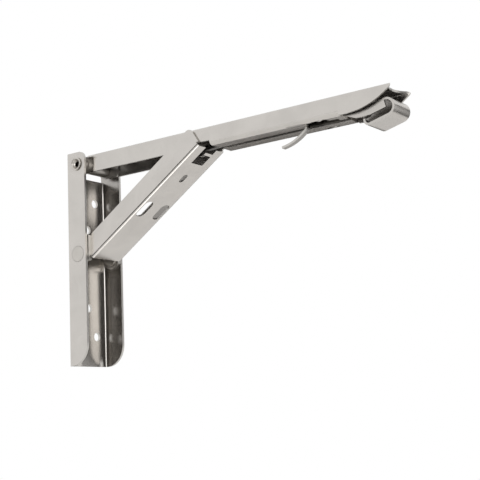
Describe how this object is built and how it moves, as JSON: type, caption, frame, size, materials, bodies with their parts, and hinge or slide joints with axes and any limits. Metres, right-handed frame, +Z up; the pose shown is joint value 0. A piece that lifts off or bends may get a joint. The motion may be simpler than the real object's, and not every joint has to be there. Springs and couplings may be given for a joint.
{
  "type": "folding shelf bracket",
  "caption": "Wall bracket of folded stainless sheet: a channel-shaped wall leaf, a hinged arm that folds down, a channel strut and a sprung release lever with a finger loop.",
  "frame": {"origin": "middle of the four corner wall screws, on the wall's face", "axes": "+X away from the wall along the open arm, +Y to the left seen from the wall, +Z up"},
  "size_m": [0.2754, 0.0426, 0.16],
  "materials": {
    "leaf_steel": "satin rolled sheet",
    "arm_steel": "satin rolled sheet",
    "strut_steel": "satin rolled sheet",
    "lever_steel": "satin rolled sheet",
    "slide_steel": "plain machined",
    "spring_steel": "plain rolled strip",
    "pin_steel": "rolled tube",
    "rivet_steel": "plain headed",
    "bush_steel": "plain turned",
    "washer_steel": "plain stamped"
  },
  "bodies": {
    "wall": {"wall_leaf": "leaf_steel", "hinge_pin": "pin_steel", "hinge_bush_left": "bush_steel", "hinge_bush_right": "bush_steel", "hinge_sleeve": "bush_steel", "strut_rivet_left": "rivet_steel", "strut_rivet_right": "rivet_steel", "strut_washer_left": "washer_steel", "strut_washer_right": "washer_steel"},
    "arm": {"support_arm": "arm_steel"},
    "strut": {"strut": "strut_steel"},
    "slide": {"strut_slide": "slide_steel"},
    "lever": {"release_lever": "lever_steel", "return_spring": "spring_steel", "spring_rivet": "rivet_steel"}
  },
  "joints": [
    {"name": "arm_fold", "type": "hinge", "parent": "wall", "child": "arm", "pos_m": [0.011, 0, 0.077], "axis": [0, 1, 0], "range_deg": [0, 87.5]},
    {"name": "strut_swing", "type": "hinge", "parent": "wall", "child": "strut", "pos_m": [0.011, 0, 0.0085], "axis": [0, 1, 0], "range_deg": [0, 119.2]},
    {"name": "slide_travel", "type": "slide", "parent": "arm", "child": "slide", "axis": [1, 0, 0], "range_m": [0, 0.0842]},
    {"name": "lever_pull", "type": "hinge", "parent": "arm", "child": "lever", "pos_m": [0.2195, 0, 0.0754], "axis": [0, 1, 0], "range_deg": [0, 4], "stiffness_Nm_per_rad": 0.8, "springref_deg": -8.59, "deforming": ["return_spring"]}
  ],
  "couplings": [
    {"joint": "strut_swing", "follows": "arm_fold", "ratio": 1.3613},
    {"joint": "slide_travel", "follows": "arm_fold", "m_per_rad": 0.055079}
  ]
}
